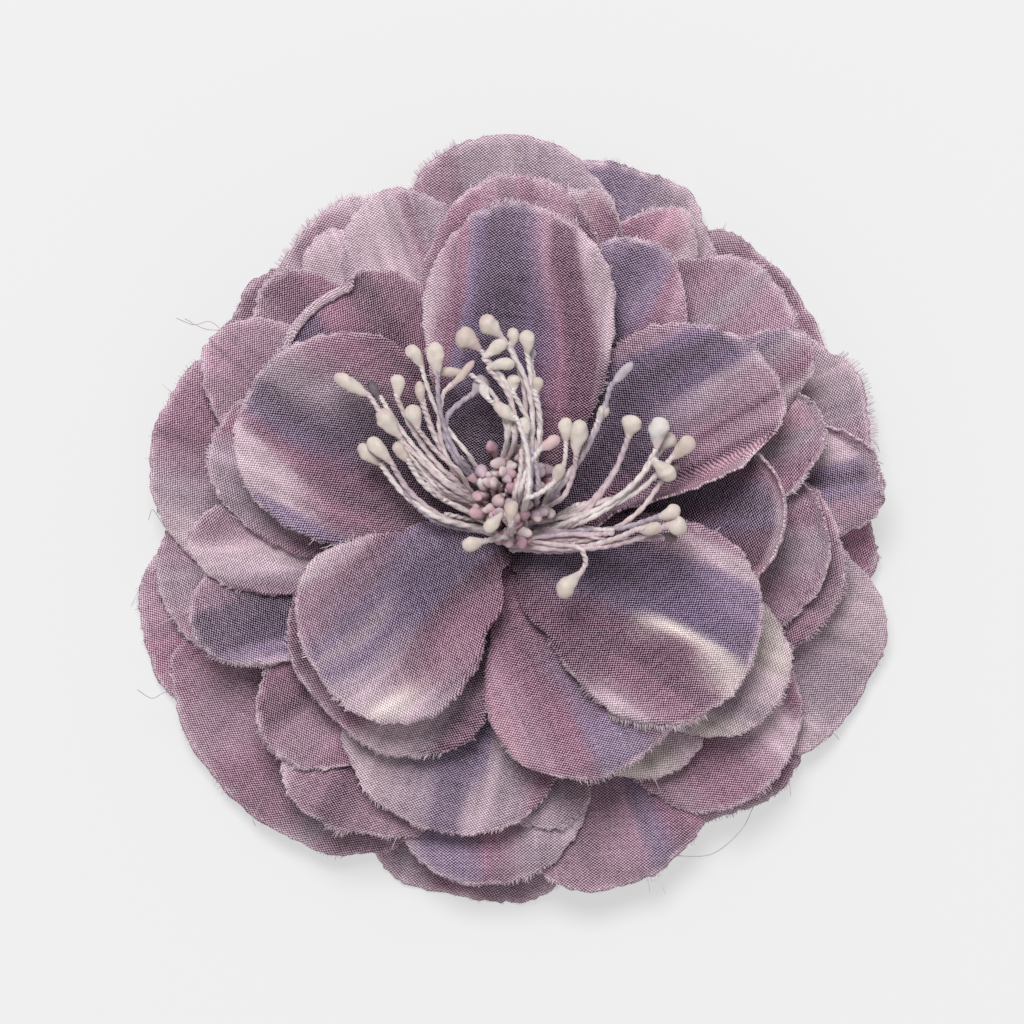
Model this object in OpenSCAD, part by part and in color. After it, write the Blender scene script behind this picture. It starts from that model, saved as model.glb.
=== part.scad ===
// Flower lapel pin: seven whorls of cut cloth petals round a bunch of knotted threads,
// on a felt disc with a stick pin. +Z is the flower's face, +Y the top of the flower.
// The origin lies on the surface it rests on, in the middle of the flower's outline.

/* [Petals] */
// Radius of the flower, from its middle out to the usual outer petal tip
flower_r = 54; // [48:0.5:64]
// Thickness of the petal cloth
cloth_t = 1; // [1:0.05:1.3]
// Clear space between two petals where one lies close on the other
cloth_gap = 0.2; // [0.15:0.01:0.5]
// How much wider the petals stand apart at the flower's rim than at its middle, as a share
stack_spread = 0.5; // [0.3:0.05:0.8]
// Height of the soft waves round the flower's rim
wave_h = 1.8; // [0:0.1:2.4]
// How far the edges between two front petals are cupped up
cup_h = 3.2; // [1:0.1:5]
// How far the tip of a fully curled petal lifts
curl_h = 2; // [0:0.1:3]

/* [Back] */
// Radius of the felt disc that carries the petals
felt_r = 23; // [19:0.5:28]
// Thickness of the felt
felt_t = 1.4; // [1:0.1:2.5]
// Radius of the pad that holds the stick pin
pad_r = 8; // [6:0.5:12]
// Thickness of that pad
pad_t = 0.8; // [0.6:0.1:1.5]
// Radius of the stick pin's needle
needle_r = 0.5; // [0.4:0.05:0.7]
// Straight length of the needle, without its point
needle_l = 30; // [20:1:40]
// Length of the needle's point
needle_tip_l = 3; // [2:0.5:5]
// Clear space between the needle and the pad, for cloth and a slide-on guard
needle_gap = 1; // [0.8:0.1:2]
// Clear space between the needle and the surface the flower rests on
rest_gap = 0.6; // [0.3:0.1:2]

/* [Stamens] */
// Radius of the bound stem of thread in the flower's middle
stem_r = 3.6; // [2.5:0.1:4.5]
// Reach that the stamen table's shares go by
stamen_reach = 27; // [22:0.5:32]
// Height that the stamen table's shares go by
stamen_rise = 9; // [6:0.5:14]
// Diameter of a thread
thread_d = 0.75; // [0.6:0.05:1]
// Diameter of a full-sized pip on a thread's end
pip_d = 2.3; // [1.8:0.1:3]
// Number of small buds in the middle
bud_count = 22; // [12:1:30]
// Diameter of a bud
bud_d = 1.15; // [0.9:0.05:1.4]
// Length of a bud
bud_l = 2.2; // [1.6:0.1:3]

/* [Hidden] */
// Whorls from the back to the front, one row each: root radius as a share of felt_r, width of
// the root as a share of the petal's width, how slowly a petal widens, share of the cupping
WHORLS = [
    [0.62, 0.42, 1.6, 0],
    [0.62, 0.42, 1.6, 0],
    [0.58, 0.40, 1.6, 0],
    [0.58, 0.36, 1.5, 0],
    [0.46, 0.26, 1.4, 0.15],
    [0.26, 0.34, 1.2, 0.45],
    [0, 0.17, 0.9, 1]
];
W_ROOT = 0;
W_NECK = 1;
W_SLOW = 2;
W_CUP = 3;

// Petals from the back to the front, one row each: whorl, direction in degrees, reach,
// half width on the anticlockwise side, half width on the clockwise side (shares of flower_r),
// how much of its length the round tip takes, share of the curl
PETALS = [
    [1, 137, 0.90, 0.26, 0.26, 0.32, 0.0],
    [1, 197, 0.945, 0.26, 0.26, 0.36, 0.2],
    [1, 267, 0.93, 0.26, 0.32, 0.28, 0.0],
    [1, 357, 0.95, 0.20, 0.22, 0.40, 0.1],
    [1,  45, 0.965, 0.28, 0.28, 0.26, 0.0],
    [1, 317, 0.94, 0.25, 0.27, 0.36, 0.0],
    [2, 226, 0.955, 0.33, 0.39, 0.30, 0.0],
    [2, 340, 0.995, 0.29, 0.29, 0.37, 0.0],
    [2,  70, 0.98, 0.24, 0.28, 0.33, 0.2],
    [2, 291, 0.93, 0.28, 0.27, 0.32, 0.1],
    [2,  20, 0.965, 0.28, 0.22, 0.30, 0.2],
    [2, 120, 0.935, 0.20, 0.24, 0.36, 0.1],
    [2, 186, 0.885, 0.24, 0.22, 0.38, 0.1],
    [3, 164, 0.925, 0.28, 0.29, 0.38, 0.1],
    [3, 266, 0.88, 0.25, 0.25, 0.40, 0.1],
    [3, 318, 0.91, 0.25, 0.25, 0.40, 0.0],
    [3,   9, 0.965, 0.18, 0.17, 0.42, 0.2],
    [3,  91, 1.01, 0.23, 0.28, 0.38, 0.1],
    [3, 238, 0.85, 0.25, 0.25, 0.40, 0.1],
    [4, 122, 0.88, 0.14, 0.14, 0.40, 0.1],
    [4,  62, 0.93, 0.14, 0.14, 0.42, 0.2],
    [4, 354, 0.86, 0.25, 0.25, 0.42, 0.1],
    [4, 280, 0.75, 0.12, 0.15, 0.42, 0.1],
    [4,  76, 0.89, 0.13, 0.13, 0.42, 0.2],
    [5, 133, 0.88, 0.15, 0.15, 0.42, 0.3],
    [5, 223, 0.80, 0.19, 0.19, 0.42, 0.2],
    [5, 358, 0.82, 0.23, 0.23, 0.42, 0.2],
    [5,  44, 0.93, 0.22, 0.22, 0.38, 0.1],
    [5, 307, 0.73, 0.18, 0.18, 0.42, 0.2],
    [5, 110, 0.92, 0.17, 0.18, 0.40, 0.2],
    [5, 258, 0.76, 0.26, 0.30, 0.40, 0.1],
    [5, 196, 0.82, 0.16, 0.16, 0.40, 0.3],
    [5,  20, 0.85, 0.16, 0.16, 0.42, 0.3],
    [5, 147, 0.88, 0.18, 0.18, 0.42, 0.3],
    [5, 329, 0.80, 0.20, 0.20, 0.38, 0.3],
    [5, 182, 0.79, 0.13, 0.13, 0.42, 0.4],
    [5,  32, 0.90, 0.13, 0.13, 0.46, 0.4],
    [6, 162, 0.77, 0.20, 0.20, 0.40, 0.2],
    [6, 231, 0.63, 0.25, 0.27, 0.40, 0.1],
    [6,   6, 0.71, 0.21, 0.21, 0.42, 0.5],
    [6,  63, 0.81, 0.19, 0.19, 0.42, 0.2],
    [6, 298, 0.65, 0.25, 0.25, 0.42, 0.1],
    [6,  88, 0.90, 0.23, 0.23, 0.38, 0.1],
    [6, 130, 0.76, 0.24, 0.24, 0.42, 0.5],
    [7, 151, 0.73, 0.24, 0.28, 0.38, 0.3],
    [7, 331, 0.69, 0.26, 0.25, 0.38, 0.2],
    [7,  29, 0.78, 0.28, 0.14, 0.38, 0.1],
    [7,  88, 0.82, 0.22, 0.255, 0.36, 0.3],
    [7, 222, 0.58, 0.22, 0.27, 0.38, 0.3]
];
P_WHORL = 0;
P_TURN = 1;
P_REACH = 2;
P_LEFT = 3;
P_RIGHT = 4;
P_BLUNT = 5;
P_CURL = 6;

// Bunches that the threads leave the stem in, one row each:
// fork x and y (shares of stamen_reach), its height (share of stamen_rise), width (share of stem_r)
BUNCHES = [
    [-0.30,  0.12, 0.30, 0.42],
    [-0.29,  0.24, 0.50, 0.42],
    [-0.22,  0.36, 0.45, 0.36],
    [ 0.02,  0.48, 0.70, 0.40],
    [ 0.11,  0.42, 0.55, 0.36],
    [ 0.10,  0.20, 0.95, 0.34],
    [ 0.28,  0.22, 0.70, 0.36],
    [ 0.36,  0.10, 0.50, 0.40],
    [ 0.36, -0.01, 0.30, 0.40],
    [ 0.00,  0.02, 0.60, 0.40]
];
B_RISE = 2;
B_WIDTH = 3;

// Stamens, one row each: bunch, tip x and y, pip's foot x and y (shares of stamen_reach),
// pip's width (share of pip_d), height (share of stamen_rise), sideways bow of the thread
STAMENS = [
    [1, -0.84, 0.79, -0.67, 0.69, 0.90, 0.45, 0.04],
    [1, -0.66, 0.76, -0.60, 0.66, 0.60, 0.40, 0.04],
    [1, -0.54, 0.79, -0.53, 0.68, 0.85, 0.60, 0.05],
    [1, -0.62, 0.62, -0.52, 0.49, 1.10, 0.55, 0.04],
    [0, -0.72, 0.45, -0.61, 0.35, 0.85, 0.40, 0.08],
    [0, -0.67, 0.48, -0.56, 0.36, 0.90, 0.60, 0.10],
    [0, -0.54, 0.46, -0.47, 0.36, 0.75, 0.65, 0.09],
    [2, -0.47, 0.64, -0.43, 0.53, 0.95, 0.75, 0.05],
    [2, -0.42, 0.76, -0.40, 0.64, 0.60, 0.55, 0.04],
    [2, -0.48, 0.93, -0.41, 0.83, 0.85, 0.50, 0.07],
    [2, -0.34, 0.95, -0.33, 0.79, 1.00, 0.70, 0.08],
    [3, -0.24, 0.99, -0.13, 0.92, 1.25, 0.75, -0.12],
    [4, -0.11, 1.08, -0.02, 0.98, 1.10, 0.80, -0.11],
    [4,  0.03, 1.02,  0.03, 0.93, 0.70, 0.70, -0.08],
    [4,  0.10, 1.01,  0.11, 0.89, 0.85, 0.75, -0.06],
    [4,  0.14, 0.92,  0.13, 0.84, 0.55, 0.55, -0.04],
    [3,  0.01, 0.95, -0.10, 0.87, 0.80, 0.90, -0.16],
    [3,  0.05, 0.84, -0.08, 0.82, 0.75, 0.95, -0.14],
    [3, -0.33, 0.80, -0.17, 0.79, 0.60, 0.65, -0.14],
    [4,  0.05, 0.79,  0.04, 0.70, 0.85, 0.85, -0.07],
    [4,  0.16, 0.78,  0.15, 0.70, 0.65, 0.80, -0.05],
    [3, -0.11, 0.75, -0.08, 0.67, 0.65, 1.00, -0.10],
    [5, -0.05, 0.65,  0.06, 0.57, 0.80, 1.05, -0.08],
    [5,  0.09, 0.58,  0.10, 0.47, 0.80, 1.00, -0.05],
    [5,  0.27, 0.48,  0.17, 0.42, 0.75, 0.95, 0.05],
    [6,  0.30, 0.58,  0.30, 0.46, 0.85, 0.80, -0.06],
    [6,  0.37, 0.57,  0.35, 0.40, 1.10, 0.85, -0.08],
    [5,  0.28, 0.35,  0.24, 0.26, 0.75, 0.95, -0.06],
    [6,  0.63, 0.85,  0.52, 0.73, 0.60, 0.40, -0.06],
    [6,  0.50, 0.64,  0.46, 0.56, 0.70, 0.50, -0.06],
    [7,  0.64, 0.59,  0.61, 0.49, 1.15, 0.60, -0.08],
    [7,  0.78, 0.58,  0.75, 0.44, 1.25, 0.65, -0.10],
    [7,  0.84, 0.49,  0.77, 0.42, 0.95, 0.40, -0.10],
    [7,  0.93, 0.48,  0.82, 0.38, 1.00, 0.55, -0.10],
    [7,  0.84, 0.28,  0.73, 0.37, 1.00, 0.80, -0.08],
    [8,  0.86, 0.34,  0.79, 0.30, 0.60, 0.35, -0.12],
    [8,  0.86, 0.14,  0.75, 0.09, 0.85, 0.50, -0.06],
    [8,  0.89, 0.06,  0.80, 0.05, 1.10, 0.60, -0.06],
    [8,  0.77, 0.05,  0.65, 0.03, 0.80, 0.70, -0.04],
    [8,  0.85, -0.02, 0.76, -0.01, 0.60, 0.35, -0.05],
    [8,  0.27, -0.31, 0.37, -0.19, 1.05, 0.40, 0.20],
    [9, -0.21, -0.06, -0.11, -0.03, 0.95, 0.75, 0],
    [9, -0.10, 0.02, -0.02, 0.10, 0.80, 1.10, 0],
    [9,  0.05, 0.17,  0.03, 0.05, 0.75, 1.15, 0]
];
S_BUNCH = 0;
S_TIP = 1;
S_FOOT = 3;
S_WIDTH = 5;
S_RISE = 6;
S_BOW = 7;

// Rings of a pip, one row each: place along the pip, share of its width
PIP_RINGS = [
    [0.35, 0.85],
    [0.75, 1],
    [1, 0.5]
];

// Cells across and along a petal, segments and sides of a thread
ACROSS = 6;
ALONG = 4;
THREAD_SEGMENTS = 3;
THREAD_SIDES = 5;

PETAL_IDS = [for (i = [0 : len(PETALS) - 1]) i];
function petals_of(w) = [for (i = PETAL_IDS) if (PETALS[i][P_WHORL] == w) i];
function petal_name(i) = str("petal_", PETALS[i][P_WHORL], "_", i - petals_of(PETALS[i][P_WHORL])[0] + 1);

function ease(x) = let(c = min(1, max(0, x))) c * c * (3 - 2 * c);
function turned(p, a) = [p[0] * cos(a) - p[1] * sin(a), p[0] * sin(a) + p[1] * cos(a)];

// Plan of a petal: its own frame has x along its middle and y to its anticlockwise side
function whorl(i, column) = WHORLS[PETALS[i][P_WHORL] - 1][column];
function root_r(i) = max(whorl(i, W_ROOT) * felt_r, stem_r + cloth_gap);
function petal_length(i) = PETALS[i][P_REACH] * flower_r - root_r(i);
function half_width(i, side) = PETALS[i][side > 0 ? P_LEFT : P_RIGHT] * flower_r;
function widening(i, s) =
    let(neck = whorl(i, W_NECK)) neck + (1 - neck) * pow(sin(90 * s), whorl(i, W_SLOW));
function plan_point(i, s, a) =
    turned([root_r(i) + petal_length(i) * s * (1 - PETALS[i][P_BLUNT] * (1 - cos(a))),
            half_width(i, a) * sin(a) * widening(i, s)], PETALS[i][P_TURN]);

// Which petals lie over one another, and so on which level of the stack each one lies
function width_at(i, x, side) =
    let(from_root = (x - root_r(i)) / petal_length(i), straight = 1 - PETALS[i][P_BLUNT])
    from_root < 0 || from_root > 1 ? -flower_r
    : from_root < straight ? half_width(i, side) * widening(i, from_root / straight)
    : half_width(i, side) * sin(acos(1 - (1 - from_root) / PETALS[i][P_BLUNT]));
function covers(i, p) =
    let(own = turned(p, -PETALS[i][P_TURN]))
    abs(own[1]) < width_at(i, own[0], own[1]) + 2 * cloth_gap;
RIMS = [for (i = PETAL_IDS) concat(
    [for (k = [0 : ALONG * 2]) each [plan_point(i, k / ALONG / 2, 90), plan_point(i, k / ALONG / 2, -90)]],
    [for (k = [1 : ACROSS * 2 - 1]) plan_point(i, 1, 90 - 90 * k / ACROSS)])];
function turn_between(i, j) = abs((PETALS[i][P_TURN] - PETALS[j][P_TURN] + 540) % 360 - 180);
function meet(i, j) = turn_between(i, j) < 100
    && len([for (p = RIMS[i]) if (covers(j, p)) 1]) + len([for (p = RIMS[j]) if (covers(i, p)) 1]) > 0;
function levels(k = 0, done = []) =
    k == len(PETALS) ? done
    : levels(k + 1, concat(done, [1 + max(concat([-1], [for (n = [0 : 1 : k - 1]) if (meet(n, k)) done[n]]))]));
LEVELS = levels();
TOP_LEVEL = max(LEVELS);

// Heights of the petals' undersides above the felt, by radius and direction from the flower's middle
pitch = cloth_t + cloth_gap;
back_h = felt_t + pad_t + needle_gap + 2 * needle_r + rest_gap;
function stacked(level, r) = cloth_gap + pitch * level * (1 + stack_spread * pow(r / flower_r, 2));
function drooped(r) = (back_h + cloth_gap) * pow(max(0, r - felt_r) / (flower_r - felt_r), 1.6);
function waved(p) = let(r = norm(p), a = atan2(p[1], p[0]))
    wave_h * ease((r - felt_r) / felt_r) * (0.6 * sin(5 * a + 40) + 0.4 * sin(9 * a + 100));
FRONT = petals_of(len(WHORLS));
FRONT_TURNS = [for (i = FRONT) PETALS[i][P_TURN]];
function to_next(a) = min([for (t = FRONT_TURNS) (t - a + 720) % 360]);
function to_last(a) = min([for (t = FRONT_TURNS) (a - t + 720) % 360]);
function cupped(p, share) = let(a = atan2(p[1], p[0]), part = to_last(a) / (to_last(a) + to_next(a) + 0.001))
    cup_h * share * pow(sin(180 * part), 2) * ease(norm(p) / flower_r / 0.5);
function curled(i, s, a) = curl_h * PETALS[i][P_CURL] * ease((s - 0.6) / 0.4) * pow(cos(a), 2);
function underside(i, s, a) =
    let(p = plan_point(i, s, a), r = norm(p))
    stacked(LEVELS[i], r) - drooped(r) + waved(p) + cupped(p, whorl(i, W_CUP)) + curled(i, s, a);

// Points of a petal, row by row from its root to its tip
function petal_points(i, up) =
    [for (k = [0 : ALONG], n = [0 : ACROSS])
        let(a = -90 + 180 * n / ACROSS, s = k / ALONG, p = plan_point(i, s, a))
        [p[0], p[1], underside(i, s, a) + up]];
UNDERSIDES = [for (i = PETAL_IDS) petal_points(i, 0)];
ALL_POINTS = [for (u = UNDERSIDES) each u];
low = [for (axis = [0 : 2]) min([for (p = ALL_POINTS) p[axis]])];
high = [for (axis = [0 : 2]) max([for (p = ALL_POINTS) p[axis]])];
// The flower's middle, on top of the felt
middle = [-(low[0] + high[0]) / 2, -(low[1] + high[1]) / 2, -low[2]];

module petal(i) {
    row = ACROSS + 1;
    size = row * (ALONG + 1);
    border = concat([for (n = [0 : ACROSS]) n],
                    [for (k = [1 : ALONG]) k * row + ACROSS],
                    [for (n = [1 : ACROSS]) size - 1 - n],
                    [for (k = [1 : ALONG - 1]) (ALONG - k) * row]);
    cells = [for (k = [0 : ALONG - 1], n = [0 : ACROSS - 1]) k * row + n];
    under = [for (c = cells) each [[c, c + row + 1, c + 1], [c, c + row, c + row + 1]]];
    over = [for (f = under) [f[0] + size, f[2] + size, f[1] + size]];
    edge = [for (n = [0 : len(border) - 1])
        let(b = border[n], c = border[(n + 1) % len(border)])
        each [[b, c, c + size], [b, c + size, b + size]]];
    polyhedron(concat(UNDERSIDES[i], petal_points(i, cloth_t)),
               [for (f = concat(under, over, edge)) [f[0], f[2], f[1]]]);
}

// A flat disc of felt, with its top at the flower's middle
module felt_back() {
    color("slategray")
        translate([0, 0, -felt_t]) cylinder(h = felt_t, r = felt_r, $fn = 96);
}

// A round pad under the felt, with a straight needle that runs along it from a neck at one side
module pin_back() {
    needle_z = -felt_t - pad_t - needle_gap - needle_r;
    neck_y = needle_l / 2;
    neck_l = 3 * needle_r;
    color("silver") {
        translate([0, 0, -felt_t - pad_t]) cylinder(h = pad_t, r = pad_r, $fn = 64);
        translate([-neck_l / 2, 0, -felt_t - pad_t])
            cube([neck_l, neck_y + neck_l, pad_t]);
        translate([-neck_l / 2, neck_y, needle_z - needle_r])
            cube([neck_l, neck_l, needle_gap + 2 * needle_r + pad_t / 2]);
        translate([0, neck_y, needle_z]) rotate([90, 0, 0])
            cylinder(h = needle_l, r = needle_r, $fn = 32);
        translate([0, neck_y - needle_l, needle_z]) rotate([90, 0, 0])
            cylinder(h = needle_tip_l, r1 = needle_r, r2 = 0.1, $fn = 32);
    }
}

// Height of the front petals' faces, with their cupping, at a place in plan
function crown(p) = stacked(TOP_LEVEL, norm(p)) + cloth_t - drooped(norm(p)) + waved(p) + cupped(p, 1);
stem_top = crown([0, 0]) + thread_d;
function lying(p, rise) = let(away = ease(norm(p) / stem_r / 3))
    max(crown(p) + thread_d * 1.2, stem_top * (1 - away)) + stamen_rise * rise;
function placed(row, column) = [row[column], row[column + 1]] * stamen_reach;
function fork(b) = let(p = placed(BUNCHES[b], 0)) [p[0], p[1], lying(p, BUNCHES[b][B_RISE])];
function thread_at(i, t) =
    let(row = STAMENS[i],
        start = fork(row[S_BUNCH]),
        way = placed(row, S_FOOT) - [start[0], start[1]],
        p = [start[0], start[1]] + way * t + turned(way, 90) * row[S_BOW] * sin(180 * t),
        rise = BUNCHES[row[S_BUNCH]][B_RISE] * (1 - t) + row[S_RISE] * t)
    [p[0], p[1], lying(p, rise)];
function pip_at(i, t) =
    let(foot = thread_at(i, 1), tip = placed(STAMENS[i], S_TIP))
    [foot[0] * (1 - t) + tip[0] * t, foot[1] * (1 - t) + tip[1] * t, foot[2]];

// A thread and the pip on its end, in rings of points along its route
module stamen(i) {
    route = concat([for (k = [0 : THREAD_SEGMENTS]) thread_at(i, k / THREAD_SEGMENTS)],
                   [for (ring = PIP_RINGS) pip_at(i, ring[0])]);
    widths = concat([for (k = [0 : THREAD_SEGMENTS]) thread_d],
                    [for (ring = PIP_RINGS) ring[1] * STAMENS[i][S_WIDTH] * pip_d]);
    last = len(route) - 1;
    n = THREAD_SIDES;
    rings = [for (k = [0 : last])
        let(along = route[min(k + 1, last)] - route[max(k - 1, 0)],
            across = [-along[1], along[0], 0] / (norm([along[0], along[1]]) + 0.001),
            up = cross(across, along) / norm(along))
        each [for (m = [0 : n - 1])
            route[k] + widths[k] / 2 * (across * cos(360 * m / n) - up * sin(360 * m / n))]];
    walls = [for (k = [0 : last - 1], m = [0 : n - 1])
        let(a = k * n + m, b = k * n + (m + 1) % n)
        each [[a, b + n, b], [a, a + n, b + n]]];
    ends = [[for (m = [0 : n - 1]) m], [for (m = [n - 1 : -1 : 0]) last * n + m]];
    polyhedron(rings, concat(walls, ends));
}

module bunch(b) {
    end = fork(b);
    hull() {
        translate([0, 0, stem_top - thread_d]) cylinder(h = thread_d, r = stem_r * BUNCHES[b][B_WIDTH], $fn = 6);
        translate(end) sphere(d = thread_d * 1.6, $fn = 6);
    }
}

// The buds stand on a small mound that leans towards the top of the flower
module buds() {
    lean = [0.1, 2] * stem_r;
    mound = [1.25, 1] * stem_r;
    mound_h = stem_top + stamen_rise * 0.35;
    hull() {
        translate([0, 0, stem_top - thread_d]) cylinder(h = thread_d, r = stem_r, $fn = 12);
        translate([lean[0], lean[1], mound_h - thread_d]) scale([mound[0] / mound[1], 1, 1])
            cylinder(h = thread_d, r = mound[1] * 0.85, $fn = 12);
    }
    for (k = [0 : bud_count - 1]) {
        out = 0.85 * sqrt((k + 0.5) / bud_count);
        a = k * 137.5;
        translate([lean[0] + mound[0] * out * cos(a), lean[1] + mound[1] * out * sin(a), mound_h - bud_l / 3])
            rotate([0, 35 * out, a])
            cylinder(h = bud_l, d1 = bud_d * 0.6, d2 = bud_d, $fn = 5);
    }
}

// The stem of bound thread stands on the felt, and threads, pips and buds are bound into it
module stamens() {
    color("antiquewhite") union() {
        translate([0, 0, cloth_gap]) cylinder(h = stem_top - cloth_gap, r = stem_r, $fn = 12);
        buds();
        for (b = [0 : len(BUNCHES) - 1]) bunch(b);
        for (i = [0 : len(STAMENS) - 1]) stamen(i);
    }
}

WHORL_COLOURS = ["#8f7c8f", "#857087", "#8d7389", "#97809a", "#917a90", "#7e5f7d", "#7a6484"];

translate(middle) {
    pin_back();
    felt_back();
    for (i = PETAL_IDS)
        color(WHORL_COLOURS[PETALS[i][P_WHORL] - 1]) petal(i);
    stamens();
}
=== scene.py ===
"""A flower lapel pin of layered, space-dyed cloth petals round a bunch of knotted threads.

Lengths are in millimetres in the making functions, and each finished mesh is put into metres.
"""
import math
import random

import bmesh
import bpy
from mathutils import Matrix, Vector, noise


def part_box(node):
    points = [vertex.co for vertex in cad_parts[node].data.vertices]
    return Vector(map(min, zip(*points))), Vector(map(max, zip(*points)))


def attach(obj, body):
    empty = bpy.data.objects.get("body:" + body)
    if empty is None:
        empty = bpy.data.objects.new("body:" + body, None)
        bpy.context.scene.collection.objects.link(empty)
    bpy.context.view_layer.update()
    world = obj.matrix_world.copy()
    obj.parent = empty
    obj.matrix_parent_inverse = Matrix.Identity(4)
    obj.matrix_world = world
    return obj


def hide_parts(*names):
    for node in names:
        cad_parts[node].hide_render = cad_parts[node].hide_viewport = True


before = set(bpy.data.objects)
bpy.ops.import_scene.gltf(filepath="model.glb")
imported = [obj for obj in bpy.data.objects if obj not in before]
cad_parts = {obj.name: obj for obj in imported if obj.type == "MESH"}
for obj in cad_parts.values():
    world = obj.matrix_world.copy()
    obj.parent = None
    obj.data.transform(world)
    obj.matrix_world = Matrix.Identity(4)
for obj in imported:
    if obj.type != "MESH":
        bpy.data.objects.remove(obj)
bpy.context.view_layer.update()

# Sizes that the solids were made with
FLOWER_R = 54.0
CLOTH_T = 1.0
CLOTH_GAP = 0.2
STACK_SPREAD = 0.5
WAVE_H = 1.8
CUP_H = 3.2
CURL_H = 2.0
FELT_R = 23.0
BACK_H = 4.8
STEM_R = 3.6
STAMEN_REACH = 27.0
STAMEN_RISE = 9.0
THREAD_D = 0.75
PIP_D = 2.3
MM = 0.001

# The cloth as it looks: its thickness, the faces of a petal's grid, the spacing of warp and weft
CLOTH = 0.34
ACROSS = 64
ALONG = 34
WARP_MM = 0.19
WEFT_MM = 0.245

# The cloth's folds: height of its middle as a share of the wall, creases, ripples, the turned-down
# rim, the dip at the front petals' roots, and the least height above the surface, for the middle of
# the cloth and for everything
CLOTH_MID = 0.62
CREASE_H = 0.42
RIPPLE_H = 0.24
RIM_DROP = 0.7
ROOT_DIP = 2.4
CLEAR_OF_FLOOR = 0.4
LEAST_CLEAR = 0.2

# The camera, straight above: how far, the width of its view, the height at which that width is
# measured, and how far it stands aside from the flower's middle
CAMERA_AWAY = 1200.0
PHOTO_WIDTH = 138.24
VIEW_H = 14
CAMERA_ASIDE = (0.945, 3.105)

# Whorls from the back: root radius as a share of FELT_R, root's width, how slowly it widens, cupping
WHORLS = [
    (0.62, 0.42, 1.6, 0),
    (0.62, 0.42, 1.6, 0),
    (0.58, 0.40, 1.6, 0),
    (0.58, 0.36, 1.5, 0),
    (0.46, 0.26, 1.4, 0.15),
    (0.26, 0.34, 1.2, 0.45),
    (0, 0.17, 0.9, 1),
]

# Dyes, by letter
DYES = {
    "k": (0.062, 0.030, 0.086),
    "i": (0.112, 0.068, 0.156),
    "b": (0.205, 0.146, 0.244),
    "p": (0.128, 0.034, 0.084),
    "v": (0.262, 0.112, 0.184),
    "m": (0.322, 0.192, 0.258),
    "g": (0.350, 0.272, 0.326),
    "r": (0.430, 0.250, 0.308),
    "w": (0.500, 0.396, 0.440),
    "o": (0.545, 0.482, 0.458),
}

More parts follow.
